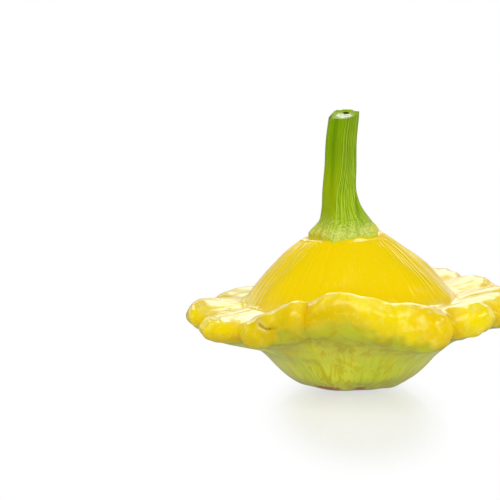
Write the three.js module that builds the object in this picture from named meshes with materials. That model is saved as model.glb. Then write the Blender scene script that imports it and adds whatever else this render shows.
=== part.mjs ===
// Pattypan squash: one ripe fruit and the cut stem that it was picked with.
//
// Millimetres, +Z up. The fruit stands on its blossom end, and the origin is the middle of that
// flat face, on the axis of the fruit. Bearings are degrees about +Z, counted from the front of
// the fruit (-Y) towards its right (+X).

import * as THREE from 'three';

const { degToRad, euclideanModulo, smoothstep } = THREE.MathUtils;

// ---- Driving dimensions ----

// The lobes of the brim, in order round the fruit. Each row holds the bearing of the crease that
// the lobe starts at, that crease's share of a full crease, the lobe's reach from the axis, and
// the heights of its crest and of its hem below.
const LOBES = [
  [-77, 1.0, 57.0, 28.3, 19.8],
  [-46, 1.1, 56.5, 31.4, 20.3],
  [-31, 0.05, 56.0, 36.4, 22.3],
  [-19, 0.9, 56.0, 40.6, 24.3],
  [1, 0.12, 56.0, 38.9, 23.0],
  [13, 0.35, 57.0, 35.6, 20.5],
  [37.5, 1.0, 57.0, 34.4, 24.0],
  [61, 0.8, 57.5, 34.8, 23.6],
  [82, 1.0, 57.5, 34.6, 23.2],
  [103, 0.9, 57.0, 35.6, 23.5],
  [123, 1.1, 56.0, 36.1, 23.6],
  [152, 0.7, 56.0, 35.2, 22.5],
  [186, 1.0, 56.5, 31.8, 21.0],
  [217, 0.9, 56.0, 29.4, 19.5],
  [250, 1.1, 57.0, 30.0, 20.0],
];

// A full crease cuts in between two lobes, and there the crest drops and the hem rises.
const CREASE_DEPTH = 3.2;
const CREASE_DROP = 1.7;
const CREASE_RISE = 0.8;
const CREASE_ROUNDING = 0.1; // share of half a lobe over which the bottom of the crease is round
const LOBE_FULLNESS = 2.4; // 2 is an even arch between two creases, more is a squarer lobe

// One section of the fruit, from the crown out to the brim and back in under it.
// Dome and bowl: radius, height.
const DOME = [[15.8, 52.1], [21.5, 47.8], [26.5, 43.3], [30.8, 38.9]];
const BOWL = [[26.4, 7.6], [22.1, 4.1], [17.7, 1.5], [13.2, 0.25], [10, 0]];
// Gutter round the dome and tuck under the brim: radius, height, and how far the height follows
// a lobe whose crest or hem lies off the level ones.
const GUTTER = [[34.4, 35, 0.12], [37.6, 32.3, 0.38], [43, 33, 0.7]];
const TUCK = [[38, 17.4, 0.45], [30.8, 12.3, 0.15]];
const LEVEL_CREST = 34;
const LEVEL_HEM = 22;
// Lip of a lobe: distance in from its reach, and share of the way from its crest to its hem.
const LIP = [[5.6, 0], [1.7, 0.2], [0, 0.5], [1.8, 0.83], [6.5, 1]];

// The dome leans a little to the left towards its crown.
const LEAN = 1;
const LEAN_FROM = 36;
const LEAN_TO = 54;

// Swellings on the lobes in front: bearing, height, spread and lift, which is less than nothing
// for a dent. Every other lobe has one in its middle. Their centres lie just under the skin.
const FRONT_KNOBS = [
  [-37, 26, 4.5, 1.9],
  [-31, 27.5, 2.2, -1],
  [-24, 32, 4, 1.6],
  [-8, 36, 5, 0.8],
  [7, 33, 4, 1.2],
  [20, 30.5, 5, 0.9],
  [29, 24.5, 5, 1.8],
  [46, 28.5, 5, 1],
  [55, 29.5, 4, 0.7],
];
const FRONT_STARTS = [-46, -31, -19, 1, 13, 37.5]; // the lobes that those swellings are on
const PLAIN_KNOB = { spread: 5, lift: 1 };
const KNOB_INSET = 1.5;

// The stem stands left of the axis, on a seat that slopes down to the left as the dome does.
const SEAT = { x: -2.8, height: 53.65, radius: 12.6, slope: 0.107 };
const SEAT_GAP = 0.3;
// Stem: height, sideways place of its middle, radius. It flares to a collar at the foot.
const STEM = [
  [53.65, -2.7, 12],
  [55.2, -2.7, 11.7],
  [57, -2.4, 10.2],
  [58.9, -2.1, 8.8],
  [61, -2.5, 7.8],
  [63.5, -3.1, 6.9],
  [69.3, -4.1, 5.8],
  [77.8, -4, 5.4],
  [86.3, -3.8, 5.25],
  [96, -2.8, 5.1],
];
const COLLAR_TOP = 62; // above this the seat's slope has faded out of the stem
const CUT_FROM = 88; // above this the stem takes on the slope of its cut end
const CUT_SLOPE = 0.19;
const RIDGES = 5;
const RIDGE_DEPTH = 0.05; // share of the stem's radius
const RIDGE_AT_TOP = 4; // bearing of the front ridge, which turns to the left down the stem
const RIDGE_AT_FOOT = -24;
const RIDGE_TURN = [58, 80]; // heights between which it turns

const COLUMNS_PER_LOBE = 8;
const COLUMNS_PER_RIDGE = 8;
const ROWS_PER_SPAN = 2; // rows of faces between two points of a section

// ---- Lobes ----

// Each lobe with its width and the bearing of its middle.
const lobes = LOBES.map(([start, depth, reach, crest, hem], k) => {
  const nextStart = LOBES[(k + 1) % LOBES.length][0];
  const width = euclideanModulo(nextStart - start, 360);
  return { start, depth, width, middle: start + width / 2, reach, crest, hem };
});

// A lobe by its number, counted on past a full turn in either direction.
function lobe(number) {
  const own = euclideanModulo(number, lobes.length);
  const turns = (number - own) / lobes.length;
  return { ...lobes[own], middle: lobes[own].middle + 360 * turns };
}

// A measure of the lobes at any bearing: each lobe's own value at its middle, and smooth between.
function around(bearing, measure) {
  const wound = lobes[0].middle + euclideanModulo(bearing - lobes[0].middle, 360);
  const k = lobes.findLastIndex(({ middle }) => middle <= wound);
  const [before, left, right, after] = [k - 1, k, k + 1, k + 2].map(lobe);
  const span = right.middle - left.middle;
  const t = (wound - left.middle) / span;
  const rise = right[measure] - left[measure];
  const slope = (a, b) => (span * (b[measure] - a[measure])) / (b.middle - a.middle);
  const ease = t * t * (3 - 2 * t);
  const leave = t * (1 - t) ** 2 * slope(before, right);
  const arrive = t * t * (1 - t) * slope(left, after);
  return left[measure] + rise * ease + leave - arrive;
}

// How deep the brim is creased at a bearing: 0 in the middle of a lobe, 1 in a full crease.
function creasing(bearing) {
  const wound = lobes[0].start + euclideanModulo(bearing - lobes[0].start, 360);
  const k = lobes.findLastIndex(({ start }) => start <= wound);
  const across = (2 * (wound - lobes[k].start)) / lobes[k].width - 1;
  const rounded = Math.hypot(1 - Math.abs(across), CREASE_ROUNDING) - CREASE_ROUNDING;
  const whole = Math.hypot(1, CREASE_ROUNDING) - CREASE_ROUNDING;
  const { depth } = lobe(across < 0 ? k : k + 1);
  return depth * (1 - rounded / whole) ** LOBE_FULLNESS;
}

// ---- Points and skins ----

// The point at a bearing and a radius about a centre at x.
function pointAt(bearing, radius, height, x = 0) {
  const angle = degToRad(bearing);
  return new THREE.Vector3(x + radius * Math.sin(angle), -radius * Math.cos(angle), height);
}

// The same on the fruit, whose dome leans.
function onFruit(bearing, radius, height) {
  return pointAt(bearing, radius, height, -LEAN * smoothstep(height, LEAN_FROM, LEAN_TO));
}

// A point of the sloping plane that fruit and stem share, a clearance above the seat itself.
function onSeat(bearing, radius, clearance) {
  const point = pointAt(bearing, radius, SEAT.height + clearance, SEAT.x);
  point.z += SEAT.slope * (point.x - SEAT.x);
  return point;
}

// A closed skin over columns of points that run from the top down, with a fan to a pole at
// either end. The columns go round anticlockwise as seen from above.
function skin(columns, topPole, bottomPole) {
  const rows = columns[0].length;
  const points = [topPole, ...columns.flat(), bottomPole];
  const bottom = points.length - 1;
  const at = (column, row) => 1 + (column % columns.length) * rows + row;
  const faces = [];
  for (let column = 0; column < columns.length; column += 1) {
    faces.push(0, at(column, 0), at(column + 1, 0));
    for (let row = 0; row + 1 < rows; row += 1) {
      faces.push(at(column, row), at(column, row + 1), at(column + 1, row + 1));
      faces.push(at(column, row), at(column + 1, row + 1), at(column + 1, row));
    }
    faces.push(at(column, rows - 1), bottom, at(column + 1, rows - 1));
  }
  const geometry = new THREE.BufferGeometry().setFromPoints(points);
  geometry.setIndex(faces);
  geometry.computeVertexNormals();
  return geometry;
}

// ---- Fruit ----

// One section of the fruit at a bearing, from the edge of the seat down to the flat face below.
function fruitColumn(bearing) {
  const crease = creasing(bearing);
  const reach = around(bearing, 'reach') - CREASE_DEPTH * crease;
  const crest = around(bearing, 'crest') - CREASE_DROP * crease;
  const hem = around(bearing, 'hem') + CREASE_RISE * crease;
  const section = [
    ...DOME,
    ...GUTTER.map(([radius, height, share]) => [radius, height + share * (crest - LEVEL_CREST)]),
    ...LIP.map(([inset, share]) => [reach - inset, crest - share * (crest - hem)]),
    ...TUCK.map(([radius, height, share]) => [radius, height + share * (hem - LEVEL_HEM)]),
    ...BOWL,
  ];
  const points = section.map(([radius, height]) => onFruit(bearing, radius, height));
  points.unshift(onSeat(bearing, SEAT.radius, 0));
  const curve = new THREE.CatmullRomCurve3(points, false, 'centripetal');
  return curve.getPoints(ROWS_PER_SPAN * (points.length - 1));
}

// Pushes the skin out where a lobe swells.
function raiseKnobs(geometry) {
  const plainLobes = lobes.filter(({ start }) => !FRONT_STARTS.includes(start));
  const { spread: plainSpread, lift: plainLift } = PLAIN_KNOB;
  const knobs = [
    ...FRONT_KNOBS,
    ...plainLobes.map(({ middle, crest, hem }) => [middle, (crest + hem) / 2, plainSpread, plainLift]),
  ];
  const centres = knobs.map(([bearing, height]) => {
    return onFruit(bearing, around(bearing, 'reach') - KNOB_INSET, height);
  });
  const { position, normal } = geometry.attributes;
  const point = new THREE.Vector3();
  const outward = new THREE.Vector3();
  for (let k = 0; k < position.count; k += 1) {
    point.fromBufferAttribute(position, k);
    outward.fromBufferAttribute(normal, k);
    const lifts = knobs.map(([, , spread, lift], number) => {
      return lift * Math.exp(-point.distanceToSquared(centres[number]) / (2 * spread ** 2));
    });
    point.addScaledVector(outward, lifts.reduce((sum, lift) => sum + lift));
    position.setXYZ(k, ...point);
  }
  return geometry;
}

function fruit() {
  const bearings = lobes.flatMap(({ start, width }) => {
    return Array.from({ length: COLUMNS_PER_LOBE }, (_, k) => start + (width * k) / COLUMNS_PER_LOBE);
  });
  const crown = onSeat(0, 0, 0);
  const blossomEnd = new THREE.Vector3(0, 0, 0);
  const geometry = raiseKnobs(skin(bearings.map(fruitColumn), crown, blossomEnd));
  const rind = new THREE.MeshStandardMaterial({ color: 0xf0cf12, roughness: 0.3, metalness: 0 });
  const mesh = new THREE.Mesh(geometry, rind);
  mesh.name = 'fruit';
  return mesh;
}

// ---- Stem ----

// The bearing of the front ridge at a height.
function frontRidge(height) {
  return RIDGE_AT_FOOT + (RIDGE_AT_TOP - RIDGE_AT_FOOT) * smoothstep(height, ...RIDGE_TURN);
}

// One point of the stem: its section is a rounded five-sided one.
function onStem(bearing, height, x, radius) {
  const fromRidge = degToRad(bearing - frontRidge(height));
  const ridged = radius * (1 + RIDGE_DEPTH * Math.cos(RIDGES * fromRidge));
  const point = pointAt(bearing, ridged, height, x);
  const foot = 1 - smoothstep(height, SEAT.height, COLLAR_TOP);
  const cut = smoothstep(height, CUT_FROM, STEM.at(-1)[0]);
  point.z += SEAT_GAP * foot + SEAT.slope * foot * (point.x - SEAT.x) + CUT_SLOPE * cut * point.y;
  return point;
}

function stem() {
  const stations = STEM.map(([height, x, radius]) => new THREE.Vector3(x, radius, height));
  const shape = new THREE.CatmullRomCurve3(stations, false, 'centripetal');
  const levels = shape.getPoints(ROWS_PER_SPAN * (stations.length - 1)).reverse();
  const count = RIDGES * COLUMNS_PER_RIDGE;
  const columns = Array.from({ length: count }, (_, k) => {
    return levels.map(({ x, y: radius, z: height }) => onStem((360 * k) / count, height, x, radius));
  });
  const [topHeight, topX] = STEM.at(-1);
  const geometry = skin(columns, new THREE.Vector3(topX, 0, topHeight), onSeat(0, 0, SEAT_GAP));
  const bark = new THREE.MeshStandardMaterial({ color: 0x93b126, roughness: 0.6, metalness: 0 });
  const mesh = new THREE.Mesh(geometry, bark);
  mesh.name = 'stem';
  return mesh;
}

const squash = new THREE.Group();
squash.add(fruit(), stem());

export default squash;
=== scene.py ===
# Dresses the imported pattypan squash: the waxy fruit with its lobes, folds and scars, and the
# ribbed stem with its collar and cut end. Shapes are worked out in millimetres, with bearings in
# degrees about +Z from the front (-Y) towards the right (+X), and turned into metres once.

import math
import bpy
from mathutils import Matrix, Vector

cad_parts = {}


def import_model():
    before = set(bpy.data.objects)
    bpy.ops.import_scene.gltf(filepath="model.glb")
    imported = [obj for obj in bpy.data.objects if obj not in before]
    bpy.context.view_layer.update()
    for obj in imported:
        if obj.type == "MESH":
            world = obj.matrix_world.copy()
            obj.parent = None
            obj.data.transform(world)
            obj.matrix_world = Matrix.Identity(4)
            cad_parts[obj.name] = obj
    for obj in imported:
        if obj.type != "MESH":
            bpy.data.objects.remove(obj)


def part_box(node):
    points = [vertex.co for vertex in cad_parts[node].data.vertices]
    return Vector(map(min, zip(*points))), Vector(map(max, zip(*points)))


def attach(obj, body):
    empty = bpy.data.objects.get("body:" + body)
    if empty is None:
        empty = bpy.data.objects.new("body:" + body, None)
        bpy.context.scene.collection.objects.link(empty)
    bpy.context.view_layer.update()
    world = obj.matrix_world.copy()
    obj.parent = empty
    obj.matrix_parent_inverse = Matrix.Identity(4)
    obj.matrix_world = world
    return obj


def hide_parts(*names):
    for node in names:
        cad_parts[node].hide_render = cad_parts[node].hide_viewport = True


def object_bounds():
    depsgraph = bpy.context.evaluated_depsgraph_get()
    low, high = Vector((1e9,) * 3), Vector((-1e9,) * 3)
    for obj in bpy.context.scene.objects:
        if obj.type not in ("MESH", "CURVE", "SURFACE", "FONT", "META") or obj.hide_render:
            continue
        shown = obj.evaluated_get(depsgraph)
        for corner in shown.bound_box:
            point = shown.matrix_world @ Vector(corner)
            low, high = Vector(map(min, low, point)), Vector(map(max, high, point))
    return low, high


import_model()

from types import SimpleNamespace

import bpy
import numpy as np
from mathutils import Vector

cad_low, cad_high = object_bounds()

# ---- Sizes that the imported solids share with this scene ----

# The lobes of the brim: bearing of the crease that the lobe starts at, its share of a full
# crease's depth, and the lobe's reach, height of crest and height of hem.
LOBES = np.array([
    (-77, 1.0, 57.0, 28.3, 19.8),
    (-46, 1.1, 56.5, 31.4, 20.3),
    (-31, 0.05, 56.0, 36.4, 22.3),
    (-19, 0.9, 56.0, 40.6, 24.3),
    (1, 0.12, 56.0, 38.9, 23.0),
    (13, 0.35, 57.0, 35.6, 20.5),
    (37.5, 1.0, 57.0, 34.4, 24.0),
    (61, 0.8, 57.5, 34.8, 23.6),
    (82, 1.0, 57.5, 34.6, 23.2),
    (103, 0.9, 57.0, 35.6, 23.5),
    (123, 1.1, 56.0, 36.1, 23.6),
    (152, 0.7, 56.0, 35.2, 22.5),
    (186, 1.0, 56.5, 31.8, 21.0),
    (217, 0.9, 56.0, 29.4, 19.5),
    (250, 1.1, 57.0, 30.0, 20.0),
])
START, DEPTH, REACH, CREST, HEM = range(5)
STARTS = LOBES[:, START]
WIDTHS = (np.roll(STARTS, -1) - STARTS) % 360
MIDDLES = STARTS + WIDTHS / 2
CREASE_DEPTH, CREASE_DROP, CREASE_RISE = 3.2, 1.7, 0.8
CREASE_ROUNDING = 0.1
LOBE_FULLNESS = 2.4

# One section of the fruit: radius, height, and where it matters how far it follows the lobe.
DOME = ((15.8, 52.1), (21.5, 47.8), (26.5, 43.3), (30.8, 38.9))
GUTTER = ((34.4, 35.0, 0.12), (37.6, 32.3, 0.38), (43.0, 33.0, 0.7))
LIP = ((5.6, 0.0), (1.7, 0.2), (0.0, 0.5), (1.8, 0.83), (6.5, 1.0))  # inset, share of the way down
TUCK = ((38.0, 17.4, 0.45), (30.8, 12.3, 0.15))
BOWL = ((26.4, 7.6), (22.1, 4.1), (17.7, 1.5), (13.2, 0.25), (10.0, 0.0))
LEVEL_CREST, LEVEL_HEM = 34.0, 22.0
LEAN, LEAN_FROM, LEAN_TO = 1.0, 36.0, 54.0

# Swellings on the lobes: bearing, height, spread, lift.
FRONT_KNOBS = (
    (-37, 26.0, 4.5, 1.9),
    (-31, 27.5, 2.2, -1.0),
    (-24, 32.0, 4.0, 1.6),
    (-8, 36.0, 5.0, 0.8),
    (7, 33.0, 4.0, 1.2),
    (20, 30.5, 5.0, 0.9),
    (29, 24.5, 5.0, 1.8),
    (46, 28.5, 5.0, 1.0),
    (55, 29.5, 4.0, 0.7),
)
FRONT_STARTS = (-46, -31, -19, 1, 13, 37.5)  # of the lobes that these swellings are on
PLAIN_SPREAD, PLAIN_LIFT = 5.0, 1.0  # of the one swelling on each other lobe
KNOB_INSET = 1.5

SEAT_X, SEAT_HEIGHT, SEAT_RADIUS, SEAT_SLOPE = -2.8, 53.65, 12.6, 0.107
# Stem: sideways place of its middle, radius, height.
STEM = (
    (-2.7, 12.0, 53.65),
    (-2.7, 11.7, 55.2),
    (-2.4, 10.2, 57.0),
    (-2.1, 8.8, 58.9),
    (-2.5, 7.8, 61.0),
    (-3.1, 6.9, 63.5),
    (-4.1, 5.8, 69.3),
    (-4.0, 5.4, 77.8),
    (-3.8, 5.25, 86.3),
    (-2.8, 5.1, 96.0),
)
STEM_TOP = STEM[-1][2]
COLLAR_TOP, CUT_FROM, CUT_SLOPE = 62.0, 88.0, 0.19
RIDGES, RIDGE_DEPTH = 5, 0.05
RIDGE_AT_TOP, RIDGE_AT_FOOT, RIDGE_TURN = 4.0, -24.0, (58.0, 80.0)

# Metres to a millimetre of the sizes above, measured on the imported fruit.
FRUIT_HEIGHT = SEAT_HEIGHT + SEAT_SLOPE * SEAT_RADIUS
MM = (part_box("fruit")[1].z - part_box("fruit")[0].z) / FRUIT_HEIGHT

# ---- Places and zones of the fruit ----

# Places along a section, counted in its points from the edge of the seat.
AT_GUTTER = 1 + len(DOME)
AT_CREST = AT_GUTTER + len(GUTTER)
AT_HEM = AT_CREST + len(LIP) - 1
AT_BOWL = AT_HEM + len(TUCK) + 1

# Zones by place: the pair of places that a zone rises to 1 over, and the pair that it falls over.
ZONES = {
    "dome": {"fall": (AT_GUTTER - 0.6, AT_GUTTER + 0.8)},
    "brim": {"rise": (AT_GUTTER - 0.2, AT_GUTTER + 1.2), "fall": (AT_CREST + 0.3, AT_CREST + 1.3)},
    "crest": {"rise": (AT_GUTTER + 0.5, AT_CREST), "fall": (AT_CREST + 1, AT_HEM)},
    "creased": {"rise": (AT_GUTTER, AT_CREST), "fall": (AT_HEM, AT_BOWL)},
    "lip": {"rise": (AT_CREST - 0.5, AT_CREST + 0.5), "fall": (AT_HEM - 0.5, AT_HEM + 0.8)},
    "tuck": {"rise": (AT_HEM - 0.3, AT_HEM + 0.9)},
    "base": {"rise": (AT_BOWL + 2.6, AT_BOWL + 3.2)},
    "free": {"rise": (0.0, 0.8), "fall": (AT_BOWL + 2.2, AT_BOWL + 3.6)},  # of the seat and the table
}

# Features by bearing: bearing, height, half width in degrees.
FRONT, FRONT_WIDTH = 5, 38
FOLDS = (  # down the dome from the angles of the stem
    (-23, 0.22, 0.9), (2, 0.04, 1.5), (31, 0.07, 1.6), (58, 0.10, 2.0), (96, 0.14, 1.8),
    (131, 0.08, 1.6), (168, 0.15, 2.0), (204, 0.08, 1.6), (243, 0.14, 1.8), (296, 0.10, 1.6),
)
CALM = ((FRONT, 0.9, FRONT_WIDTH), (185, 0.4, 50))  # share of the fine ribs that is missing
CREST_KNOBS = ((123, 0.7, 4.5), (111, -0.9, 7))
CROWN_ROLLS = ((88, 0.15, 18), (-88, -0.5, 18))  # round the collar
AT_ROLLS, ROLL_SPREAD = 0.5, 0.45
CHAFED = ((-27, 1, 17), (9, 1, 7), (96, 1, 14), (168, 1, 12), (240, 1, 18))  # brown and corky
# Bearings of a painted sheen on the bowl: paler at its edges, as a reflection of the table would be.
SHEEN_BEARINGS = ((-66, 1, 15), (66, 1, 15), (142, 1, 18), (214, 1, 18))  # paler on the bowl
LIME_TONGUES = (  # above the lime's plain edge, counted as places are
    (-5, 1.15, 11), (22, 0.35, 9), (9, -0.1, 5), (15, 0.2, 5), (-23, 0.6, 3.5), (-27, 0.55, 4),
)
LIME_RISE = 0.8
DOME_RIBS, BRIM_RIBS = (59, 73, 97), (61, 83, 104, 127)  # rates of fine ribs, to a turn

# A healed slit on the lobe left of the middle: bearing, height along it.
SLIT = np.array([(-35.0, 30.0), (-33.3, 28.9), (-31.8, 28.3), (-28.4, 29.0), (-26.4, 30.4), (-24.2, 31.2)])
SLIT_WIDTH, SLIT_DEPTH, SLIT_LIP = 0.42, 0.6, 0.2
OUTER_RADIUS = 50.0  # beyond it a point is on the outside of the brim
OUT_OF_REACH = 1e9

DENTS, DENT_SPREADS, DENT_DEPTHS = 34, (0.9, 2.6), (0.10, 0.34)
SCAR_RADIUS, SCAR_SLOPE, SCAR_DEPTH = 5.2, 1.4, 0.9
WRINKLES, WRINKLE_DEPTH = 17, 0.3
CORK_RADIUS, CORK_SPREAD = 18.8, 3.0
FRONT_LIFT = 0.45  # of the edge of the base off the table

# ---- How fine the skins are, and what is drawn at random ----

FINE_COLUMNS = 46  # to a lobe
FINE_PITCH, LIP_PITCH = 1.0, 0.45  # mm between two rows of the fruit, and on its lobes
STEM_COLUMNS = 260
STEM_PITCH = 0.36
WAVE_COUNT, WAVE_SPREAD = 26, (0.75, 1.4)  # shares of one wavelength
WANDER_LENGTHS, SWELL_LENGTHS = (9, 16), (7, 14)  # mm along a rib
PHASES = (0, 6.3)  # radians
GRAIN_LENGTH = 60  # mm of skin to one unit of its grain
TINY = 1e-9
rng = np.random.default_rng(11)


def eased(t):
    """An even S from 0 to 1."""
    return t * t * (3 - 2 * t)


def smooth(value, low, high):
    """0 up to low, 1 from high on, and an even S between."""
    return eased(np.clip((value - low) / (high - low), 0.0, 1.0))


def band(value, rise=None, fall=None):
    """1 between a pair of values that it rises over and a pair that it falls over."""
    risen = 1.0 if rise is None else smooth(value, *rise)
    return risen if fall is None else risen * (1 - smooth(value, *fall))


def hill(value, middle, spread):
    """A bell of height 1."""
    return np.exp(-(((value - middle) / spread) ** 2) / 2)


def near(grid, centre, spread):
    """A bell of height 1 about a point."""
    return np.exp(-((grid - centre) ** 2).sum(-1) / (2 * spread ** 2))


def turn_between(bearing, middle):
    """The signed angle from a middle bearing, -180 to 180."""
    return (bearing - middle + 180) % 360 - 180


def sector(bearing, middle, width):
    """A bell of height 1 about a bearing."""
    return hill(turn_between(bearing, middle), 0, width)


def sectors(bearing, rows):
    """The sum of such bells from rows of bearing, height and half width."""
    return sum(height * sector(bearing, middle, width) for middle, height, width in rows)


def waves(points, length, height):
    """Soft random swells of about one wavelength through the space that the points are in."""
    total = np.zeros(points.shape[:-1])
    for _ in range(WAVE_COUNT):
        heading = rng.normal(size=3)
        heading /= np.linalg.norm(heading) * length * rng.uniform(*WAVE_SPREAD)
        total += np.cos(2 * math.pi * (points @ heading) + rng.uniform(0, 2 * math.pi))
    return height * total / math.sqrt(WAVE_COUNT / 2)


def ripples(bearing, along, rates, drift, height=1.0):
    """Uneven ribs that run down a round thing: sums of sines about it that wander slowly."""
    angle = np.radians(bearing)
    total = np.zeros(np.broadcast(bearing, along).shape)
    for rate in rates:
        wander = drift * np.sin(along / rng.uniform(*WANDER_LENGTHS) + rng.uniform(*PHASES))
        swell = np.sin(along / rng.uniform(*SWELL_LENGTHS) + rng.uniform(*PHASES))
        total += (0.6 + 0.4 * swell) * np.sin(rate * angle + wander + rng.uniform(*PHASES))
    return height * total / math.sqrt(len(rates))


# ---- Lobes ----

def between(start, end, leave, arrive, t):
    """From start to end as t goes from 0 to 1, with the slopes that it leaves and arrives with."""
    return start + (end - start) * eased(t) + t * (1 - t) ** 2 * leave - t * t * (1 - t) * arrive


def around(bearing, measure):
    """A measure of the lobes at any bearing: each lobe's own at its middle, smooth between."""
    own, count = LOBES[:, measure], len(LOBES)
    wound = MIDDLES[0] + (bearing - MIDDLES[0]) % 360
    left = np.searchsorted(MIDDLES, wound, side="right") - 1

    def value(step):
        return own[(left + step) % count]

    def place(step):
        return MIDDLES[(left + step) % count] + 360 * ((left + step) // count)

    span = place(1) - place(0)
    leave = span * (value(1) - value(-1)) / (place(1) - place(-1))
    arrive = span * (value(2) - value(0)) / (place(2) - place(0))
    return between(value(0), value(1), leave, arrive, (wound - place(0)) / span)


def creasing(bearing):
    """How deep the brim is creased: 0 in the middle of a lobe, about 1 at the bottom of a crease."""
    wound = STARTS[0] + (bearing - STARTS[0]) % 360
    own = np.searchsorted(STARTS, wound, side="right") - 1
    across = 2 * (wound - STARTS[own]) / WIDTHS[own] - 1
    rounded = np.hypot(1 - np.abs(across), CREASE_ROUNDING) - CREASE_ROUNDING
    whole = math.hypot(1, CREASE_ROUNDING) - CREASE_ROUNDING
    nearest = np.where(across < 0, own, (own + 1) % len(LOBES))
    return LOBES[nearest, DEPTH] * (1 - rounded / whole) ** LOBE_FULLNESS


# ---- Points and skins ----

def point_at(bearing, radius, height, x=0.0):
    """Points at bearings and radii about a centre at x."""
    angle = np.radians(bearing)
    parts = np.broadcast_arrays(x + radius * np.sin(angle), -radius * np.cos(angle), height)
    return np.stack(parts, axis=-1)


def on_fruit(bearing, radius, height):
    """The same on the fruit, whose dome leans."""
    return point_at(bearing, radius, height, -LEAN * smooth(height, LEAN_FROM, LEAN_TO))


def on_seat(bearing, radius):
    """Points of the sloping plane that the stem stands on."""
    points = point_at(bearing, radius, SEAT_HEIGHT, SEAT_X)
    points[..., 2] += SEAT_SLOPE * (points[..., 0] - SEAT_X)
    return points


def knot_span(start, end):
    """What a centripetal curve counts from one point to the next: the root of their distance."""
    return np.sqrt(np.linalg.norm(end - start, axis=-1, keepdims=True))


def spline(points, pitch):
    """Rows along centripetal Catmull-Rom curves through rows of points, about a pitch apart.

    Gives the rows, and each one's place counted in the points.
    """
    before, after = 2 * points[0] - points[1], 2 * points[-1] - points[-2]
    run = np.concatenate([before[None], points, after[None]])
    pitches = np.broadcast_to(pitch, len(points) - 1)
    rows, places = [], []
    for k, (a, b, c, d) in enumerate(zip(run, run[1:], run[2:], run[3:])):
        ab, bc, cd = knot_span(a, b), knot_span(b, c), knot_span(c, d)
        leave = ((b - a) / ab - (c - a) / (ab + bc) + (c - b) / bc) * bc
        arrive = ((c - b) / bc - (d - b) / (bc + cd) + (d - c) / cd) * bc
        count = max(2, round(float(np.mean(bc ** 2)) / pitches[k]))
        for t in np.arange(count) / count:
            rows.append(between(b, c, leave, arrive, t))
            places.append(k + t)
    return np.array(rows + [points[-1]]), np.array(places + [len(points) - 1.0])


def outward(grid):
    """Normals of a grid of points: rows from the top down, columns anticlockwise from above."""
    across = np.roll(grid, -1, axis=1) - np.roll(grid, 1, axis=1)
    normals = np.cross(np.gradient(grid, axis=0), across)
    return normals / np.maximum(np.linalg.norm(normals, axis=-1, keepdims=True), TINY)


def grained(bearing, along):
    """The grain at points of a skin: the sine and cosine of their bearing, and how far down they are."""
    angle = np.radians(bearing)
    return np.stack(np.broadcast_arrays(np.sin(angle), np.cos(angle), along), axis=-1)


def placed(name, data):
    """A new object in the scene."""
    piece = bpy.data.objects.new(name, data)
    bpy.context.scene.collection.objects.link(piece)
    return piece


def skin(name, grid, masks):
    """A closed mesh over a grid of points in millimetres, with a pole at either end.

    Each mask is a value for every point of the grid, kept on the mesh under its name.
    """
    rows, columns = grid.shape[:2]

    def with_poles(values):
        flat = values.reshape((rows * columns,) + values.shape[2:])
        return np.concatenate([values[:1].mean(axis=1), flat, values[-1:].mean(axis=1)])

    index = 1 + np.arange(rows * columns).reshape(rows, columns)
    beside = np.roll(index, -1, axis=1)
    quads = np.stack([index[:-1], index[1:], beside[1:], beside[:-1]], axis=-1).reshape(-1, 4)
    top, bottom = 0, rows * columns + 1
    top_fan = [(top, int(a), int(b)) for a, b in zip(index[0], beside[0])]
    bottom_fan = [(int(a), bottom, int(b)) for a, b in zip(index[-1], beside[-1])]
    mesh = bpy.data.meshes.new(name)
    mesh.from_pydata((with_poles(grid) * MM).tolist(), [], quads.tolist() + top_fan + bottom_fan)
    mesh.shade_smooth()
    for mask, values in masks.items():
        stored = with_poles(values).astype(np.float32)
        kind, field = ("FLOAT_VECTOR", "vector") if stored.ndim == 2 else ("FLOAT", "value")
        mesh.attributes.new(mask, kind, "POINT").data.foreach_set(field, stored.ravel())
    return placed(name, mesh)


# ---- Fruit ----

def fruit_grid():
    """The plain form of the fruit, with the bearing of each column and the place of each row."""
    shares = np.arange(FINE_COLUMNS) / FINE_COLUMNS
    bearing = (STARTS[:, None] + WIDTHS[:, None] * shares).ravel()
    crease = creasing(bearing)
    reach = around(bearing, REACH) - CREASE_DEPTH * crease
    crest = around(bearing, CREST) - CREASE_DROP * crease
    hem = around(bearing, HEM) + CREASE_RISE * crease
    gutter = [(radius, height + share * (crest - LEVEL_CREST)) for radius, height, share in GUTTER]
    lip = [(reach - inset, crest - share * (crest - hem)) for inset, share in LIP]
    tuck = [(radius, height + share * (hem - LEVEL_HEM)) for radius, height, share in TUCK]
    section = [on_fruit(bearing, *point) for point in (*DOME, *gutter, *lip, *tuck, *BOWL)]
    points = np.array([on_seat(bearing, SEAT_RADIUS), *section])
    steps = np.arange(len(points) - 1)
    pitch = np.where((steps >= AT_CREST) & (steps < AT_HEM), LIP_PITCH, FINE_PITCH)
    grid, place = spline(points, pitch)
    return grid, bearing, place


def knobs():
    """Centre, spread and lift of each swelling."""
    plain = [k for k in range(len(LOBES)) if STARTS[k] not in FRONT_STARTS]
    own = [(MIDDLES[k], (LOBES[k, CREST] + LOBES[k, HEM]) / 2, PLAIN_SPREAD, PLAIN_LIFT) for k in plain]
    for bearing, height, spread, lift in [*FRONT_KNOBS, *own]:
        yield on_fruit(bearing, around(np.array(bearing), REACH) - KNOB_INSET, height), spread, lift


def swollen(grid):
    """The plain form with its lobes' swellings."""
    swell = sum(lift * near(grid, centre, spread) for centre, spread, lift in knobs())
    return grid + outward(grid) * swell[..., None]


def dents(grid, allowed):
    """How deep small random dents are, which lie where they are allowed."""
    sites = np.argwhere(allowed)
    total = np.zeros(grid.shape[:2])
    for row, column in sites[rng.integers(len(sites), size=DENTS)]:
        spread, depth = rng.uniform(*DENT_SPREADS), rng.uniform(*DENT_DEPTHS)
        total += depth * near(grid, grid[row, column], spread)
    return total


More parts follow.
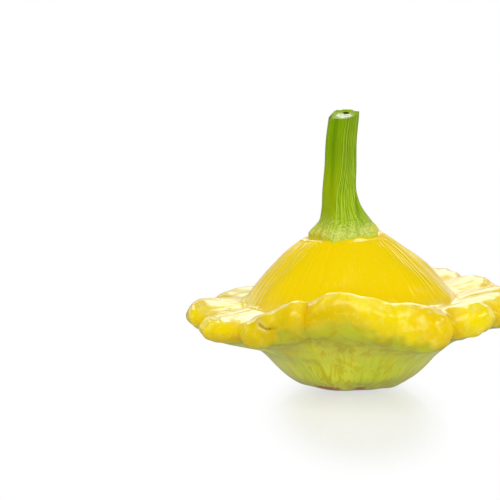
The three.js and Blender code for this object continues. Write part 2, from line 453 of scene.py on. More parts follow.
def uneven_skin(grid, turn, place, zones, ribbed):
    """Swells, folds, fine ribs and dents, none of them at the seat or on the table."""
    level = grid[..., 2]
    relief = waves(grid, length=21, height=0.22)
    relief += waves(grid, length=8.5, height=0.08) * (1 - 0.7 * zones["dome"])
    relief -= sectors(turn, FOLDS) * zones["dome"]
    relief += ripples(turn, level, BRIM_RIBS, drift=0.8, height=0.13) * zones["brim"] * ribbed
    relief += ripples(turn, level, DOME_RIBS, drift=0.6, height=0.15) * zones["dome"] * ribbed
    relief += waves(grid, length=5.5, height=0.13) * zones["lip"]
    relief -= dents(grid, zones["lip"] + 0.3 * smooth(place, AT_HEM, AT_BOWL) > 0.6)
    relief += sectors(turn, CREST_KNOBS) * zones["crest"]
    return relief * zones["free"]


def slit_distance(grid):
    """How far each point lies from the slit, in millimetres, and what share of the way along it."""
    radius = np.hypot(grid[..., 0], grid[..., 1])
    angle = np.arctan2(grid[..., 0], -grid[..., 1])
    unrolled = np.stack([angle * radius, grid[..., 2]], axis=-1)
    unrolled[radius < OUTER_RADIUS] = OUT_OF_REACH
    ends = SLIT * (math.radians(1) * LOBES[:, REACH].mean(), 1)
    best = np.full(grid.shape[:2], OUT_OF_REACH)
    share = np.zeros(grid.shape[:2])
    for k, (start, end) in enumerate(zip(ends, ends[1:])):
        t = np.clip(((unrolled - start) @ (end - start)) / ((end - start) @ (end - start)), 0, 1)
        away = np.linalg.norm(unrolled - start - t[..., None] * (end - start), axis=-1)
        share = np.where(away < best, (k + t) / (len(SLIT) - 1), share)
        best = np.minimum(away, best)
    return best, share


def healed_slit(grid):
    """The relief of the ragged slit with its raised lip, and its masks."""
    away, along = slit_distance(grid)
    ragged = 0.85 + 0.25 * np.sin(along * 31) * np.sin(along * 17 + 1)
    slit = np.exp(-((away / (SLIT_WIDTH * ragged)) ** 2)) * (1 - 0.5 * smooth(along, 0.6, 1))
    relief = SLIT_LIP * hill(away, 1.6, 0.8) - SLIT_DEPTH * slit
    return relief, {
        "slit": slit * (1 - 0.5 * smooth(along, 0.35, 0.6)),
        # Darker gold round the slit, more at its left end.
        "bruise": hill(away, 0.0, 2.6) * (1 - 0.7 * smooth(along, 0.3, 0.7)),
        "seam": hill(away, 0.95, 0.3) * (1 - smooth(along, 0.3, 0.5)),
    }


def blossom_scar(radius, turn, base):
    """The relief of the sunken, wrinkled scar in the middle of the base, and its mask."""
    sunk = (1 - smooth(radius, SCAR_RADIUS - SCAR_SLOPE, SCAR_RADIUS)) * base
    wrinkle = 0.5 + 0.5 * np.sin(np.radians(turn) * WRINKLES + 2 * np.sin(radius))
    return -(SCAR_DEPTH + WRINKLE_DEPTH * wrinkle) * sunk, {"scar": sunk}


def lime_masks(grid, turn, place):
    """The masks of the lime, from a ragged edge above the hem downwards, and of the painted shade in deep
    gold above it on the front lobes.
    """
    edge = AT_HEM - LIME_RISE - sectors(turn, LIME_TONGUES)
    edge = edge + waves(grid, length=9, height=0.14) + waves(grid, length=3.5, height=0.1)
    return {
        "green": smooth(place, edge - 0.45, edge + 0.5),
        # Painted shade: deep gold on the lower front of the front lobes.
        "under": smooth(place, edge - 1.8, edge - 0.5) * sector(turn, -12, 14),
    }


def wax_masks(grid, turn, place, zones, ribbed, radius):
    """The other masks of the rind, from the heights, bearings and places of the finished skin."""
    height = grid[..., 2]
    travel = np.cumsum(np.linalg.norm(np.diff(grid, axis=0, prepend=grid[:1]), axis=-1), axis=0)
    corky_ring = hill(radius, CORK_RADIUS, CORK_SPREAD) * sectors(turn, CHAFED)
    return {
        "dome": zones["dome"],
        # Where the dome's flanks are, for the painted highlights on them.
        "flank": zones["dome"] * smooth(np.abs(turn_between(turn, 3)), 50, 75),
        "brim": zones["brim"] * ribbed,
        # Where the creases are, for the painted shade in them.
        "crease": creasing(turn) * zones["creased"],
        "dull": hill(place, AT_CREST + 0.1, 0.7) * (0.1 + 0.9 * sector(turn, 3, 7)),
        "shade": smooth(place, AT_CREST + 0.6, AT_HEM) * sector(turn, -45, 9),
        "tuck": zones["tuck"],
        # Lower on the bowl, for the painted light towards its foot.
        "low": 1 - smooth(height, 8, 24),
        # Painted sheen: paler at the bowl's edges and round its foot.
        "veil": np.maximum(sectors(turn, SHEEN_BEARINGS), 0.4 * (1 - smooth(height, 1, 6))),
        "cork": np.maximum(0.4 * zones["base"], corky_ring) * (1 - smooth(height, 2.4, 4.4)),
        "grain": grained(turn, travel / GRAIN_LENGTH),
    }


def fruit():
    """The whole fruit, with the relief of its skin and the masks of its finish."""
    grid, bearing, place = fruit_grid()
    turn = np.broadcast_to(bearing, grid.shape[:2])
    place = np.broadcast_to(place[:, None], grid.shape[:2])
    grid = swollen(grid)
    radius = np.hypot(grid[..., 0], grid[..., 1])
    zones = {name: band(place, **ends) for name, ends in ZONES.items()}
    ribbed = 1 - sectors(turn, CALM)

    relief = uneven_skin(grid, turn, place, zones, ribbed)
    relief += sectors(turn, CROWN_ROLLS) * hill(place, AT_ROLLS, ROLL_SPREAD)
    slit_relief, slit_masks = healed_slit(grid)
    scar_relief, scar_mask = blossom_scar(radius, turn, zones["base"])
    grid = grid + outward(grid) * (relief + slit_relief + scar_relief)[..., None]
    front = sector(turn, FRONT, FRONT_WIDTH) * smooth(radius, 7, 12)
    grid[..., 2] += FRONT_LIFT * front * (1 - smooth(grid[..., 2], 2, 6))
    grid[..., 2] = np.maximum(grid[..., 2], 0.0)

    masks = {
        **lime_masks(grid, turn, place),
        **slit_masks,
        **scar_mask,
        **wax_masks(grid, turn, place, zones, ribbed, radius),
    }
    piece = skin("squash_fruit", grid, masks)
    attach(piece, "root")
    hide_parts("fruit")
    return piece


# ---- Stem ----

FOOT_CURL = ((-2.7, 10.4, 52.3), (-2.7, 11.5, 52.7))  # the stem on down, inside the crown
# Toes of the collar that reach on down over the crown: bearing, length, half width in degrees.
TOES = (
    (-16, 2.8, 4), (-5, 1.3, 8), (-62, -0.5, 14), (12, 1.5, 14), (46, 1.6, 16), (92, 0.9, 13),
    (135, 0.8, 9), (178, 1.0, 10), (215, 1.3, 8), (262, 0.5, 9),
)
TOE_DROP = 0.54  # to a millimetre of their length
LEFT_SIDE = -88
STEM_RIBS, RIB_HEIGHT = (29, 38, 47, 61), 0.12  # rates to a turn, and mm
STEM_LUMPS, LUMP_HEIGHT = (9, 14, 19), 0.22
LEFT_GROOVE, LEFT_GROOVE_DEPTH = -33, 0.15
# The right groove turns away above and below its nearest point to the front.
RIGHT_GROOVE, RIGHT_GROOVE_DEPTH = 37, 0.5
RIGHT_GROOVE_HEIGHT, RIGHT_GROOVE_BEND = 58.3, 0.28
RAGS, RAG_HEIGHT = (7, 12, 19), 0.18  # of the torn rim of the cut
TEARS = ((85, 0.7, 18), (LEFT_SIDE, -2.5, 30), (-15, -0.5, 26))  # bearing, rise, half width
TORN_FROM = STEM_TOP - 1.4

CAP_RINGS, CAP_SHARES = 16, (0.06, 0.985)  # of the way from the middle of the cut to its rim
HEART = (0.9, 3.4)  # hollow heart of the cut end: right of and behind its middle
HEART_RADIUS, HEART_DEPTH, HEART_OVAL = 0.75, 1.1, (1.0, 0.9)
PITH_DEPTH = 0.3
PITH_RAGS = (3, 5, 8)
CAP_GRAIN, CAP_GRAIN_RISE = 1.6, 0.1  # at the middle, and more by the rim


def stem_forms(bearing, height):
    """The ridges, grooves, ribs, lumps and toes of the stem, each by bearing and height."""
    ridge = RIDGE_AT_FOOT + (RIDGE_AT_TOP - RIDGE_AT_FOOT) * smooth(height, *RIDGE_TURN)
    from_ridge = turn_between(bearing, ridge)
    right = RIGHT_GROOVE + RIGHT_GROOVE_BEND * (height - RIGHT_GROOVE_HEIGHT) ** 2
    return SimpleNamespace(
        ridges=np.cos(np.radians(RIDGES * from_ridge)),
        sleek=band(from_ridge, (-100, -80), (-10, 2)),  # left face, nearly smooth
        ribs=ripples(from_ridge, height, STEM_RIBS, drift=0.7),
        left_groove=sector(bearing, LEFT_GROOVE, 8) * smooth(height, 62, 68),
        right_groove=sector(bearing, right, 4) * band(height, (54.5, 56), (66, 70)),
        lumps=ripples(bearing, height, STEM_LUMPS, drift=0.6),
        toe=sectors(bearing, TOES) * (1 - smooth(height, 53.6, 57.5)),
    )


def stem_radius(radius, bearing, height, forms):
    """The plain radius with the stem's forms on it."""
    ribbed = (1 - 0.75 * forms.sleek) * smooth(height, SEAT_HEIGHT + 2, COLLAR_TOP)
    shoulder = -0.2 * hill(height, 58.3, 1.4) - 0.9 * hill(height, 53.9, 0.9)
    radius = radius * (1 + RIDGE_DEPTH * forms.ridges)
    radius = radius + RIB_HEIGHT * forms.ribs * ribbed
    radius = radius - LEFT_GROOVE_DEPTH * forms.left_groove - RIGHT_GROOVE_DEPTH * forms.right_groove
    radius = radius + shoulder * sector(bearing, LEFT_SIDE, 35)
    radius = radius + LUMP_HEIGHT * forms.lumps * hill(height, 55.3, 1.2)
    return radius + forms.toe


def settle(side, height, toe):
    """Slopes the foot as the seat is, slants the cut and lets the toes down."""
    foot = 1 - smooth(height, SEAT_HEIGHT, COLLAR_TOP)
    cut = smooth(height, CUT_FROM, STEM_TOP)
    side[..., 2] += SEAT_SLOPE * foot * (side[..., 0] - SEAT_X) + CUT_SLOPE * cut * side[..., 1]
    side[..., 2] -= TOE_DROP * toe


def cut_end(rim):
    """The cut face inside its torn rim, as rings of points.

    Also gives each ring's share of the way out, and where each point lies from the hollow heart.
    """
    middle = rim.mean(axis=0)
    share = np.linspace(*CAP_SHARES, CAP_RINGS)[:, None]
    cap = middle + (rim - middle) * share[..., None]

    def plane(points):
        return middle[2] + CUT_SLOPE * (points[..., 1] - middle[1])

    from_heart = cap[..., :2] - middle[:2] - HEART
    hollow = np.exp(-((np.linalg.norm(from_heart, axis=-1) / HEART_RADIUS) ** 2))
    torn = (rim[:, 2] - plane(rim)) * share ** 6
    cap[..., 2] = plane(cap) + torn - PITH_DEPTH * (1 - share ** 4) - HEART_DEPTH * hollow
    return cap, share, from_heart


def side_masks(bearing, height, forms):
    """The masks of the stem's side."""
    bright = 0.65 + 0.35 * smooth(turn_between(bearing, -22), -3, 3) + 0.12 * forms.lumps
    # Painted shade down the right side of the stem.
    right_shade = 0.7 * sector(bearing, 84, 9) * smooth(height, 61, 66)
    gilt = sector(bearing, 90, 24) * (1 - smooth(height, 55.6, 57.6))
    gilt = gilt + 0.4 * sector(bearing, -66, 26) * (1 - smooth(height, 56.5, 59))
    return {
        "rib": forms.ribs,
        "sleek": forms.sleek,
        "collar": 1 - smooth(height, 55.5, 63),
        "bump": bright * hill(height, 55.6, 1.1),
        "crevice": smooth(-forms.lumps, 0.2, 1.3) * hill(height, 57.2, 2.0),
        # Darker green in the grooves, and the painted shade down the right side.
        "groove": np.maximum(np.maximum(forms.left_groove, forms.right_groove), right_shade),
        "foot": 1 - smooth(height - 0.3 * forms.toe, 53.2, 54.9),
        "gilt": gilt,
        "aloft": smooth(height, 64, 86),
        "tip": smooth(height, STEM_TOP - 3, STEM_TOP),
    }


def cap_masks(bearing, share, from_heart):
    """The masks of the cut end: pale pith with a ragged edge, and the dark hollow heart."""
    frayed = share + ripples(bearing, share, PITH_RAGS, drift=0, height=0.12)
    away = np.linalg.norm(from_heart / HEART_OVAL, axis=-1)
    return {
        "pith": 1 - smooth(frayed, 0.40, 0.60),
        "heart": 1 - smooth(away, 0.7, 1.3),
        "tip": 1.0,
    }


def stem():
    """The stalk with its collar and the cut end, with the masks of its finish."""
    levels = spline(np.array([*FOOT_CURL, *STEM])[:, None, :], STEM_PITCH)[0][::-1]
    x, radius, height = (levels[..., k] for k in range(3))
    bearing = np.arange(STEM_COLUMNS)[None, :] * 360 / STEM_COLUMNS
    forms = stem_forms(bearing, height)
    side = point_at(bearing, stem_radius(radius, bearing, height, forms), height, x)
    settle(side, height, forms.toe)
    torn = ripples(bearing, height, RAGS, drift=0.0, height=RAG_HEIGHT) + sectors(bearing, TEARS)
    side[..., 2] += torn * smooth(height, TORN_FROM, STEM_TOP)
    cap, share, from_heart = cut_end(side[0])

    on_side = side_masks(bearing, height, forms)
    on_cap = cap_masks(bearing, share, from_heart)
    masks = {}
    for name in {**on_side, **on_cap}:
        above = np.broadcast_to(on_cap.get(name, 0.0), cap.shape[:2])
        below = np.broadcast_to(on_side.get(name, 0.0), side.shape[:2])
        masks[name] = np.concatenate([above, below])
    along = np.concatenate([CAP_GRAIN + CAP_GRAIN_RISE * share, height / GRAIN_LENGTH])
    masks["grain"] = grained(bearing, along)

    piece = skin("squash_stem", np.concatenate([cap, side]), masks)
    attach(piece, "root")
    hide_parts("stem")
    return piece


# ---- Materials ----

class Wire:
    """A node's output. Arithmetic on it adds Math nodes for single values."""

    def __init__(self, finish, socket):
        self.finish = finish
        self.socket = socket

    def maths(self, operation, *values, clamp=False):
        """A Math node on values and other wires."""
        sockets = dict(enumerate(values))
        return self.finish.node("ShaderNodeMath", {"operation": operation, "use_clamp": clamp}, sockets)

    def __add__(self, other):
        return self.maths("ADD", self, other)

    def __radd__(self, other):
        return self.maths("ADD", other, self)

    def __sub__(self, other):
        return self.maths("SUBTRACT", self, other)

    def __rsub__(self, other):
        return self.maths("SUBTRACT", other, self)

    def __mul__(self, other):
        return self.maths("MULTIPLY", self, other)

    def __rmul__(self, other):
        return self.maths("MULTIPLY", other, self)

    def clamped(self):
        """The same, kept from 0 to 1."""
        return self.maths("ADD", self, 0.0, clamp=True)

    def step(self, low, high):
        """0 up to low, 1 from high on, smooth between. Low may be the higher one."""
        settings = {"interpolation_type": "SMOOTHSTEP"}
        return self.finish.node("ShaderNodeMapRange", settings, {0: self, 1: low, 2: high, 3: 0.0, 4: 1.0})


class Finish:
    """A material or world with one method that all its nodes come from."""

    def __init__(self, owner):
        owner.use_nodes = True
        self.tree = owner.node_tree
        self.tree.nodes.clear()

    def node(self, kind, settings=None, sockets=None, out=0):
        """A node with its settings made first, then its sockets set or linked. Gives one output."""
        made = self.tree.nodes.new(kind)
        for name, value in (settings or {}).items():
            setattr(made, name, value)
        for name, value in (sockets or {}).items():
            if isinstance(value, Wire):
                self.tree.links.new(value.socket, made.inputs[name])
            else:
                made.inputs[name].default_value = value
        return Wire(self, made.outputs[out]) if made.outputs else None

    def kept(self, name, out="Fac"):
        """What the mesh carries under a name."""
        return self.node("ShaderNodeAttribute", {"attribute_name": name}, out=out)

    def masks(self, names):
        """Masks that the mesh carries, under their own names."""
        return SimpleNamespace(**{name: self.kept(name) for name in names.split()})

    def place(self):
        """Where a point is on the object, in metres."""
        return self.node("ShaderNodeTexCoord", out="Object")

    def noise(self, vector, scale, detail, rough=0.5, warp=0.0):
        """Soft noise about a half, by its fineness, its octaves and their strength, and its warp."""
        values = {"Vector": vector, "Scale": scale, "Detail": detail, "Roughness": rough, "Distortion": warp}
        return self.node("ShaderNodeTexNoise", None, values)

    def along_grain(self, scales):
        """Where a point is round and down the skin, scaled for a texture."""
        sockets = {0: self.kept("grain", "Vector"), 1: scales}
        return self.node("ShaderNodeVectorMath", {"operation": "MULTIPLY"}, sockets)

    def streaks(self, scales, detail, rough=0.5, warp=0.0):
        """Noise that is drawn out along the skin's grain."""
        return self.noise(self.along_grain(scales), 1.0, detail, rough, warp)

    def cells(self, scales):
        """How far a point is from the nearest of the cells that are spread along the grain."""
        return self.node("ShaderNodeTexVoronoi", None, {"Vector": self.along_grain(scales), "Scale": 1.0})

    def mix(self, factor, first, second):
        """From the first colour to the second."""
        settings = {"data_type": "RGBA", "clamp_factor": True}
        return self.node("ShaderNodeMix", settings, {0: factor, 6: first, 7: second}, out=2)

    def coated(self, colour, *coats):
        """A colour with others laid over it in turn: how much of each, and the colour."""
        for amount, paint in coats:
            colour = self.mix(amount, colour, paint)
        return colour

    def bump(self, height, distance, strength):
        values = {"Height": height, "Distance": distance, "Strength": strength}
        return self.node("ShaderNodeBump", None, values)

    def shader(self, kind, values):
        """A shader, or two mixed."""
        return self.node("ShaderNode" + kind, None, values)

    def surface(self, shader):
        """Ends the material."""
        self.node("ShaderNodeOutputMaterial", None, {"Surface": shader})


def rgb(red, green, blue):
    """A colour as seen, 0 to 255, in the linear values that sockets take."""
    parts = (part / 255 for part in (red, green, blue))
    return tuple(p / 12.92 if p <= 0.04045 else ((p + 0.055) / 1.055) ** 2.4 for p in parts) + (1.0,)


# Colours of the rind.
DOME_GOLD, LOBE_GOLD, BRIGHT_GOLD = rgb(247, 213, 0), rgb(244, 208, 0), rgb(252, 226, 0)
# The crease gold is painted shade in the creases between the lobes.
CLOUD_CREAM, CREASE_SHADE_GOLD, THREAD_GOLD = rgb(255, 240, 110), rgb(226, 186, 0), rgb(236, 216, 20)
# Painted shade: under the overhang of the front lobes, and on the lower left lobes.
UNDER_LOBE_SHADE_GOLD, SHADED_GOLD = rgb(220, 188, 0), rgb(192, 154, 0)
# Pale grain on the brim and the flanks, partly painted sheen and painted highlights.
BRIM_GRAIN_AND_SHEEN, FLANK_GRAIN_AND_HIGHLIGHTS = rgb(252, 240, 160), rgb(250, 240, 180)
FRECKLE_CREAM, FLECK_CREAM = rgb(250, 236, 90), rgb(254, 238, 110)
# The upper lime is painted shade under the lobes; the low lime and the low blot gold are painted light off
# the table.
UNDER_LOBE_SHADE_LIME, TUCKED_LIME, FOOT_LIT_LIME = rgb(200, 196, 36), rgb(230, 222, 44), rgb(245, 250, 80)
# The veil cream is a painted sheen on the bowl.
BROAD_LIME, THREAD_LIME, EDGE_SHEEN_CREAM = rgb(200, 220, 50), rgb(188, 202, 14), rgb(254, 254, 160)
BLOT_GOLD, FOOT_LIT_BLOT_GOLD, EDGE_CREAM = rgb(196, 180, 0), rgb(226, 212, 0), rgb(222, 212, 84)
CORK_BROWN, SCAR_BROWN = rgb(216, 142, 36), rgb(150, 118, 62)
SLIT_DARK_GOLD, SEAM_CREAM, SLIT_BROWN = rgb(192, 158, 0), rgb(236, 220, 150), rgb(128, 108, 8)

# Colours of the stem.
LOW_GREEN, HIGH_GREEN, RIB_GREEN = rgb(152, 184, 0), rgb(124, 160, 0), rgb(196, 216, 88)
# The groove green is darker green in the grooves, and also painted shade down the right side.
FURROW_GREEN, GROOVE_AND_SHADE_GREEN, SLEEK_GREEN = rgb(88, 136, 0), rgb(84, 124, 0), rgb(148, 168, 0)
COLLAR_GREEN, BUMP_CREAM, STIPPLE_CREAM = rgb(160, 190, 16), rgb(220, 226, 116), rgb(224, 230, 126)
PIT_GREEN, CREVICE_GREEN, FOOT_GOLD = rgb(128, 164, 0), rgb(104, 144, 0), rgb(206, 208, 16)
GILT_GOLD, TIP_GREEN, HEART_BROWN = rgb(236, 210, 40), rgb(96, 122, 20), rgb(44, 48, 22)
DEEP_PITH, PALE_PITH = rgb(190, 200, 120), rgb(250, 252, 240)


def rind_noises(wax):
    """The noises that the rind is coloured and roughened by."""
    place = wax.place()
    patches = wax.noise(place, 95, 4, 0.6, 0.4)
    threads = wax.streaks((46, 46, 2.2), 3, 0.55)
    hairs = wax.streaks((105, 105, 5), 2, 0.6)
    return SimpleNamespace(
        broad=wax.noise(place, 42, 3),
        patches=patches,
        grit=wax.noise(place, 520, 4, 0.7),
        flecks=wax.noise(place, 640, 2).step(0.58, 0.68),
        dots=wax.noise(place, 900, 2).step(0.5, 0.62),
        pores=wax.noise(place, 1500, 2),
        clouds=wax.streaks((17, 17, 15), 4, 0.6, 0.3),
        blots=wax.streaks((9, 9, 7), 5, 0.62, 0.3),
        threads=threads,
        hairs=hairs,
        pale_grain=(threads * 0.6 + hairs * 0.4).step(0.49, 0.66),
        freckles=wax.cells((60, 60, 14)).step(0.27, 0.1) * patches.step(0.5, 0.62),
    )


def gold(wax, at, noise):
    """Golden yellow: cloudy lobes, painted shade in the creases and under the lobes, pale grain and painted
    sheen on the brim and flanks.
    """
    lobes = wax.coated(
        wax.mix(noise.broad.step(0.4, 0.6), LOBE_GOLD, BRIGHT_GOLD),
        (noise.clouds.step(0.5, 0.64) * 0.42, CLOUD_CREAM),
    )
    return wax.coated(
        wax.mix(at.dome, lobes, DOME_GOLD),
        # Painted shade: darker gold in the creases between the lobes.
        (at.crease.step(0.25, 0.95) * 0.55, CREASE_SHADE_GOLD),
        (noise.threads.step(0.5, 0.72) * at.dome * 0.22, THREAD_GOLD),
        # Painted shade under the overhang of the front lobes.
        (at.under * 0.9, UNDER_LOBE_SHADE_GOLD),
        (at.shade * 0.9, SHADED_GOLD),
        # Pale grain on the brim, partly a painted sheen.
        (at.brim * (0.12 + 0.5 * noise.pale_grain), BRIM_GRAIN_AND_SHEEN),
        # Pale streaks on the flanks of the dome: painted highlights, partly grain.
        (noise.pale_grain * at.flank * 0.6, FLANK_GRAIN_AND_HIGHLIGHTS),
        (noise.freckles * at.dome * 0.6, FRECKLE_CREAM),
        (noise.flecks * (1 - at.dome) * 0.2, FLECK_CREAM),
    )


def lime(wax, at, noise):
    """Lime of the bowl with golden blots: darker under the lobes as painted shade, paler towards the foot as
    painted light, pale edges as painted sheen.
    """
    return wax.coated(
        # Painted shade just under the lobes, and painted light towards the foot.
        wax.mix(at.low, wax.mix(at.tuck, UNDER_LOBE_SHADE_LIME, TUCKED_LIME), FOOT_LIT_LIME),
        (noise.broad.step(0.42, 0.62) * 0.35, BROAD_LIME),
        # The blots are paler towards the foot as painted light.
        (noise.blots.step(0.49, 0.58) * 0.8, wax.mix(at.low.step(0.0, 0.5), BLOT_GOLD, FOOT_LIT_BLOT_GOLD)),
        (noise.threads.step(0.5, 0.66) * 0.4, THREAD_LIME),
        # Painted sheen at the edges of the bowl.
        (at.veil * at.low.step(0.05, 0.4) * 0.6, EDGE_SHEEN_CREAM),
    )


def scarred(wax, colour, at, noise):
    """A colour with the marks over it: corky specks, the blossom scar, and the healed slit with darker gold
    round it.
    """
    specks = (noise.grit * 0.7 + at.cork * 0.45).step(0.62, 0.74)
    return wax.coated(
        colour,
        (specks * at.cork.step(0.1, 0.5), CORK_BROWN),
        (at.scar * 0.8, SCAR_BROWN),
        # Darker gold round the slit.
        (at.bruise * 0.6, SLIT_DARK_GOLD),
        (at.seam * 0.35, SEAM_CREAM),
        (at.slit.step(0.15, 0.8) * (0.45 + 0.4 * noise.dots), SLIT_BROWN),
    )


def rind():
    """Waxy skin: golden yellow, lime green on the bowl, with fine pale grain that runs down it."""
    material = bpy.data.materials.new("rind")
    wax = Finish(material)
    at = wax.masks("dome flank brim crease dull green under shade tuck low veil slit bruise seam cork scar")
    noise = rind_noises(wax)
    turning = at.green * (1 - at.green) * 4  # where gold turns to lime
    skin_colour = wax.coated(
        wax.mix(at.green, gold(wax, at, noise), lime(wax, at, noise)),
        (turning * noise.patches.step(0.42, 0.6) * 0.2, EDGE_CREAM),
    )
    rough = 0.09 + 0.06 * noise.patches + 0.12 * at.green + 0.4 * at.scar + 0.14 * at.brim
    rough = rough + at.dull * (0.15 + 0.35 * noise.patches.step(0.42, 0.58))
    relief = noise.threads * 0.6 * (0.25 * at.dome + at.brim) + noise.hairs * 0.15
    relief = relief + noise.pores * 0.04 + noise.patches * 0.30
    wax.surface(wax.shader("BsdfPrincipled", {
        "Base Color": scarred(wax, skin_colour, at, noise),
        "Roughness": rough,
        "Specular IOR Level": 0.5,
        "Specular Tint": (1.0, 0.97, 0.88, 1),
        "Subsurface Weight": 0.1,
        "Subsurface Radius": (1.0, 0.6, 0.08),
        "Subsurface Scale": 1.6 * MM,
        "Normal": wax.bump(relief, 0.30 * MM, 0.55),
    }))
    return material


def stem_skin():
    """Dull green skin with paler ribs, a pale warty collar and a wet cut end."""
    material = bpy.data.materials.new("stem")
    bark = Finish(material)
    at = bark.masks("rib sleek groove aloft tip collar bump crevice foot gilt pith heart")
    threads = bark.streaks((20, 20, 5), 4, 0.6)
    hairs = bark.streaks((46, 46, 9), 3, 0.6)
    grit = bark.noise(bark.place(), 1400, 3, 0.6)
    fine = (0.5 + 0.3 * at.rib + 1.4 * (hairs - 0.5)).clamped()
    ribbed = (1 - 0.85 * at.sleek) * (1 - 0.45 * at.aloft)
    stipple = (grit * 0.8 + 0.25 * hairs).step(0.48, 0.6)

    colour = bark.coated(
        bark.mix(at.aloft, LOW_GREEN, HIGH_GREEN),
        (fine.step(0.45, 0.8) * ribbed, RIB_GREEN),
        (fine.step(0.52, 0.15) * (0.3 + 0.7 * ribbed), FURROW_GREEN),
        # Darker in the grooves, and painted shade down the right side.
        (at.groove * 0.6, GROOVE_AND_SHADE_GREEN),
        (at.sleek * (0.5 + 0.5 * threads.step(0.4, 0.6)) * (1 - at.aloft), SLEEK_GREEN),
        (at.collar * 0.3, COLLAR_GREEN),
        (at.bump * 0.6, BUMP_CREAM),
        (at.collar * stipple * 0.6, STIPPLE_CREAM),
        (at.collar * grit.step(0.47, 0.37) * 0.45, PIT_GREEN),
        (at.crevice * 0.5, CREVICE_GREEN),
        (at.foot * 0.85, FOOT_GOLD),
        (at.gilt * 0.75, GILT_GOLD),
        (at.tip * hairs.step(0.45, 0.6) * 0.35, TIP_GREEN),
        (at.pith, bark.mix(grit.step(0.36, 0.56), DEEP_PITH, PALE_PITH)),
        (at.heart.step(0.25, 0.7), HEART_BROWN),
    )
    rough = 0.42 + 0.15 * hairs + 0.10 * at.collar - 0.22 * at.pith
    relief = hairs * 0.6 * (1 - 0.6 * at.sleek) + grit * (0.25 + 0.9 * at.collar) + threads * 0.2
    bark.surface(bark.shader("BsdfPrincipled", {
        "Base Color": colour,
        "Roughness": rough,
        "Specular IOR Level": 0.2,
        "Specular Tint": (0.6, 0.9, 0.1, 1),
        "Normal": bark.bump(relief, 0.25 * MM, 0.9),
    }))
    return material


# ---- Stage, lights and camera ----

HEIGHT = cad_high.z - cad_low.z
WIDTH = cad_high.x - cad_low.x
WHITE = (1, 1, 1, 1)
FLOOR_SIZE = 12 * WIDTH
# The ellipse of floor in front of the squash where its shadow and mirror image show most.
CLEARING_SCALE, CLEARING_SHIFT = (3.6 / WIDTH, 1.3 / WIDTH, 0), (0, 0.55, 0)
CLEARING_WHITE = 0.62


def floor():
    """A pale glossy table top.

    The camera sees it mostly white in front of the squash, and wholly white further off.
    """
    mesh = bpy.data.meshes.new("floor")
    corners = [(x * FLOOR_SIZE, y * FLOOR_SIZE, 0) for x, y in ((-1, -1), (1, -1), (1, 1), (-1, 1))]
    mesh.from_pydata(corners, [], [(0, 1, 2, 3)])
    piece = placed("floor", mesh)
    piece.location.z = cad_low.z
    material = bpy.data.materials.new("floor")
    board = Finish(material)
    seen = board.node("ShaderNodeLightPath", out="Is Camera Ray")
    lacquer = board.shader("BsdfPrincipled", {
        "Base Color": (0.9, 0.9, 0.9, 1), "Roughness": 0.06, "Specular IOR Level": 0.35,
    })
    white = board.shader("Emission", {"Color": WHITE, "Strength": 1.0})
    scaled = {0: board.place(), 1: CLEARING_SCALE, 2: CLEARING_SHIFT}
    ellipse = board.node("ShaderNodeVectorMath", {"operation": "MULTIPLY_ADD"}, scaled)
    away = board.node("ShaderNodeVectorMath", {"operation": "LENGTH"}, {0: ellipse}, out="Value")
    blank = seen * (CLEARING_WHITE + (1 - CLEARING_WHITE) * away.step(0.45, 1.05))
    board.surface(board.shader("MixShader", {0: blank, 1: lacquer, 2: white}))
    mesh.materials.append(material)
    piece.visible_glossy = False


DAYLIGHT = 0.45  # strength of the even light from all round
# What shows in the wax instead: a dim room, a pale wall low behind it, and the table.
ROOM, WALL, TABLE = 0.02, 0.8, 0.22


def world():
    """Plain soft daylight all round, white to the camera."""
    sky = bpy.data.worlds.new("studio")
    bpy.context.scene.world = sky
    room = Finish(sky)
    seen = room.node("ShaderNodeLightPath", out="Is Camera Ray")
    mirrored = room.node("ShaderNodeLightPath", out="Is Glossy Ray")
    heading = room.node("ShaderNodeTexCoord", out="Generated")
    back = room.node("ShaderNodeSeparateXYZ", None, {0: heading}, out="Y")
    up = room.node("ShaderNodeSeparateXYZ", None, {0: heading}, out="Z")
    wall = back.step(0.3, 0.8) * up.step(0.42, 0.2) * up.step(-0.04, 0.0)
    table = up.step(0.0, -0.1)
    soft = DAYLIGHT + mirrored * (ROOM - DAYLIGHT + WALL * wall + TABLE * table)
    strength = seen + (1 - seen) * soft
    ground = room.shader("Background", {"Color": WHITE, "Strength": strength})
    room.node("ShaderNodeOutputWorld", None, {"Surface": ground})


LAMP_DISTANCE = 0.9
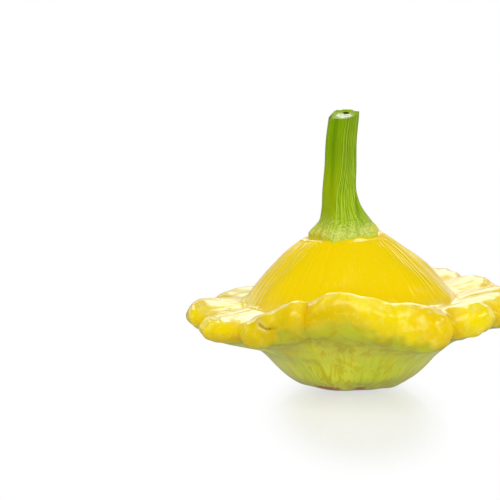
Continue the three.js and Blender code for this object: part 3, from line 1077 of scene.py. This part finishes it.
# Name, bearing and elevation in degrees, width and height in metres, and power in watts.
LAMPS = (  # these light the squash and don't show in its wax
    ("key", 34, 44, 0.4, 0.4, 1.3),
    ("top", 4, 66, 0.35, 0.35, 1.0),
    ("fill", -42, 46, 0.4, 0.4, 0.95),
    ("front", -6, 8, 0.9, 0.36, 2.6),
    ("low_left", -108, 4, 0.4, 0.14, 0.7),
    ("low_right", 104, 4, 0.4, 0.14, 1.5),
    ("right", 100, 24, 0.5, 0.4, 0.45),
    ("left", -100, 24, 0.5, 0.4, 0.6),
)
PANELS = (  # these show in its wax and light nothing
    ("window", 8, 60, 0.5, 0.46, 2.0),
    ("side_window", 98, 31, 0.35, 0.22, 0.9),
    ("strip_right", 150, 25, 0.03, 0.25, 0.15),
    ("strip_left", -151, 27, 0.05, 0.20, 0.22),
    ("strip_far_left", -163, 15, 0.10, 0.10, 0.06),
    ("high_behind", 165, 50, 0.22, 0.3, 0.9),
    ("behind", 175, 33, 0.48, 0.42, 2.9),
)


def softbox(name, bearing, elevation, width, height, power, lights):
    """A flat light that looks at the middle of the squash: a lamp if it lights, else a panel."""
    middle = Vector((0, 0, HEIGHT / 2))
    rise = math.radians(elevation)
    outwards = Vector(point_at(bearing, math.cos(rise), math.sin(rise)))
    light = bpy.data.lights.new(name, "AREA")
    light.shape = "RECTANGLE"
    light.size = width
    light.size_y = height
    light.energy = power
    lamp = placed(name, light)
    lamp.location = middle + outwards * LAMP_DISTANCE
    lamp.rotation_mode = "QUATERNION"
    lamp.rotation_quaternion = (-outwards).to_track_quat("-Z", "Y")
    lamp.visible_camera = False
    lamp.visible_diffuse = lights
    lamp.visible_glossy = not lights


CAMERA_TILT = math.radians(8)
CAMERA_DISTANCE = 0.8
VIEW_WIDTH = 1.5055 * WIDTH  # at the squash
VIEW_MIDDLE = Vector((-0.3043 * WIDTH, 0, 0.4958 * HEIGHT))
SENSOR_WIDTH = 36


def camera():
    """A long lens that looks a little down at the squash, which stands right of the middle."""
    back = Vector((0, -math.cos(CAMERA_TILT), math.sin(CAMERA_TILT)))
    lens = bpy.data.cameras.new("camera")
    lens.sensor_width = SENSOR_WIDTH
    lens.lens = SENSOR_WIDTH * CAMERA_DISTANCE / VIEW_WIDTH
    piece = placed("camera", lens)
    piece.location = VIEW_MIDDLE + back * CAMERA_DISTANCE
    piece.rotation_mode = "QUATERNION"
    piece.rotation_quaternion = (-back).to_track_quat("-Z", "Y")
    bpy.context.scene.camera = piece


bpy.context.scene.view_settings.view_transform = "Standard"
camera()
world()
floor()
for lamp in LAMPS:
    softbox(*lamp, lights=True)
for panel in PANELS:
    softbox(*panel, lights=False)
fruit().data.materials.append(rind())
stem().data.materials.append(stem_skin())
